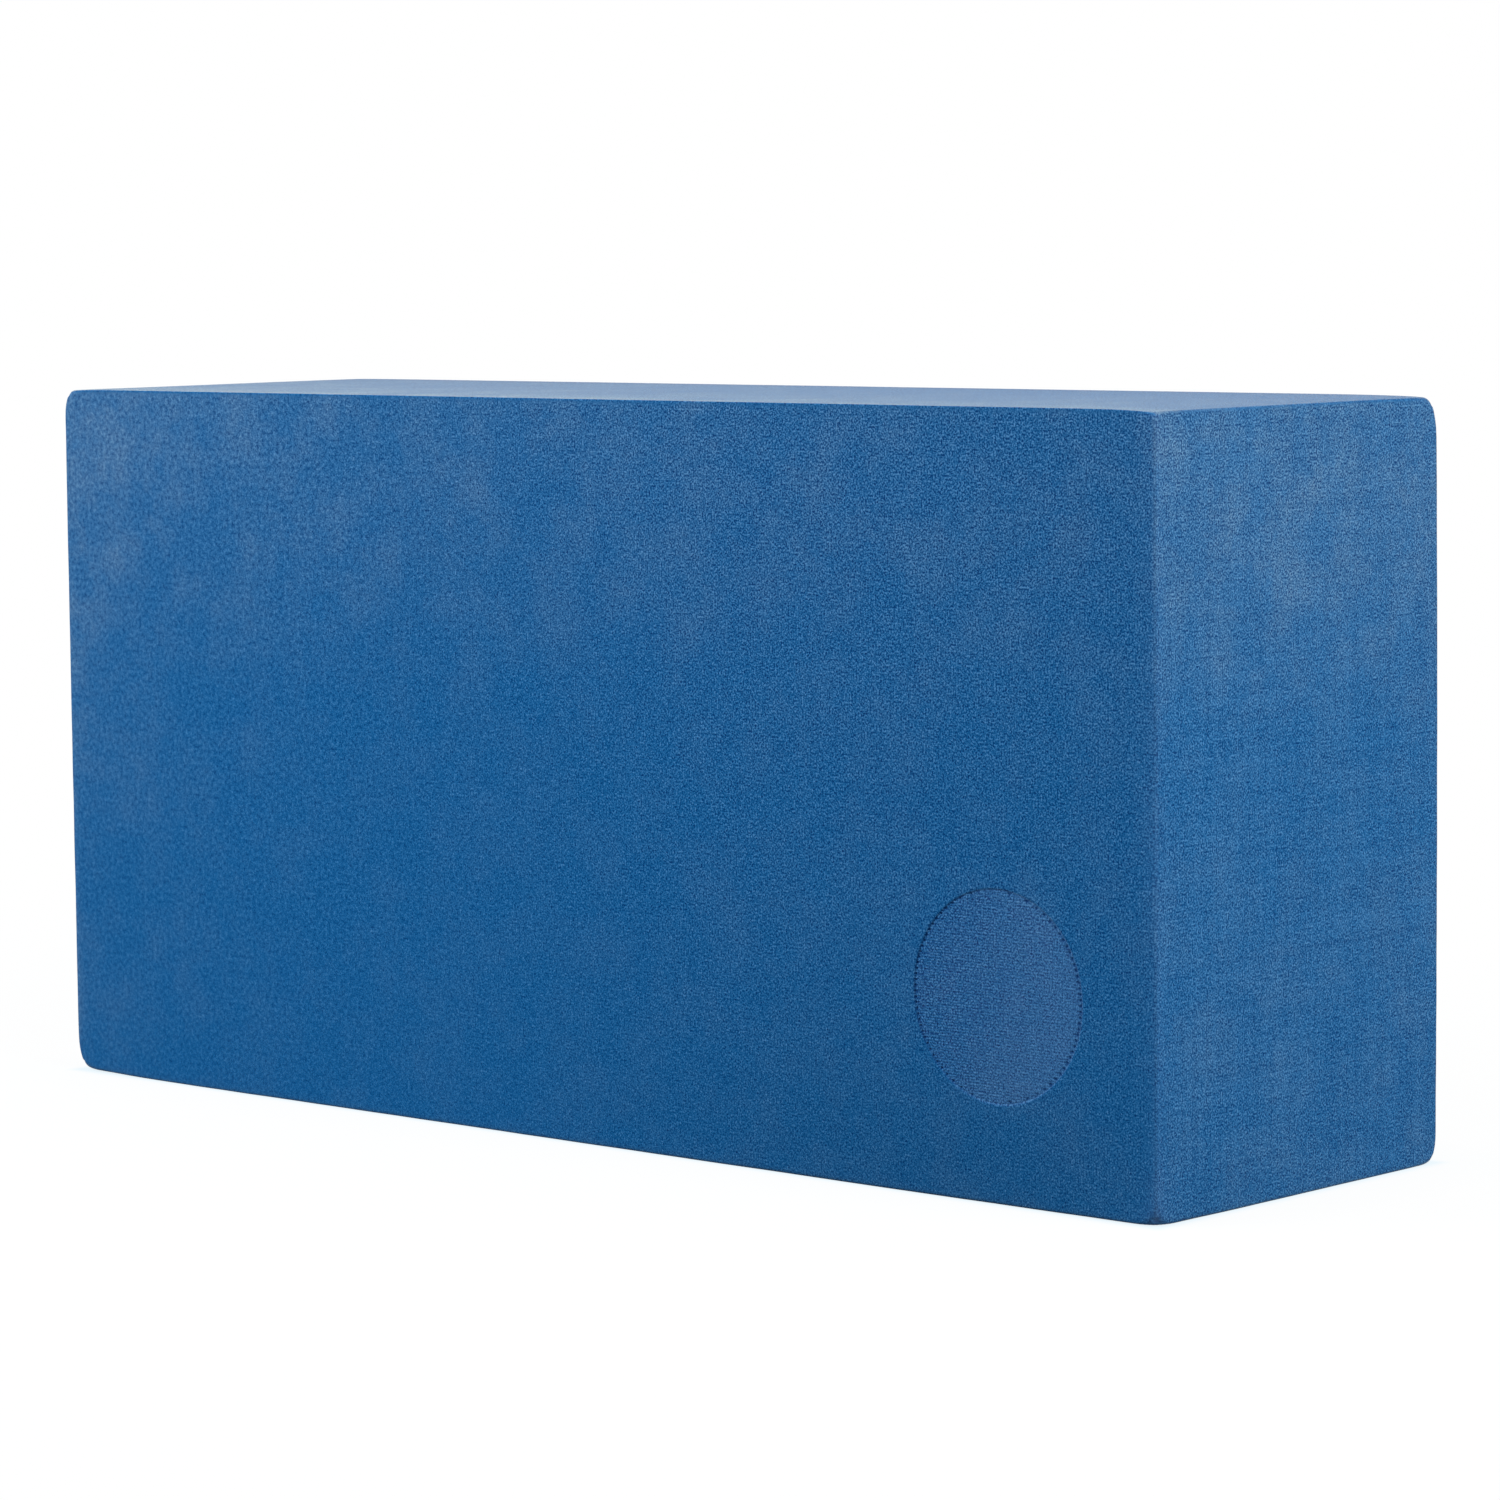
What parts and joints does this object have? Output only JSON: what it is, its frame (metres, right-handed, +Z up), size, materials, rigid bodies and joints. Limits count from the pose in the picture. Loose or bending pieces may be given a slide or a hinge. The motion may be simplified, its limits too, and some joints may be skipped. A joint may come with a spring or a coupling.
{
  "type": "yoga block",
  "caption": "Firm foam brick for yoga practice, with eased edges, rounded corners and a shallow plain round field on its front face.",
  "frame": {"origin": "centre of the long narrow face that the brick stands on", "axes": "+X along the length to the right of the front face, +Y through the thickness away from the front face, +Z up"},
  "size_m": [0.22, 0.066, 0.11],
  "materials": {
    "foam": "matte cut face of fine closed-cell EVA foam, plain blue all through"
  },
  "bodies": {
    "root": {"block": "foam"}
  },
  "joints": []
}
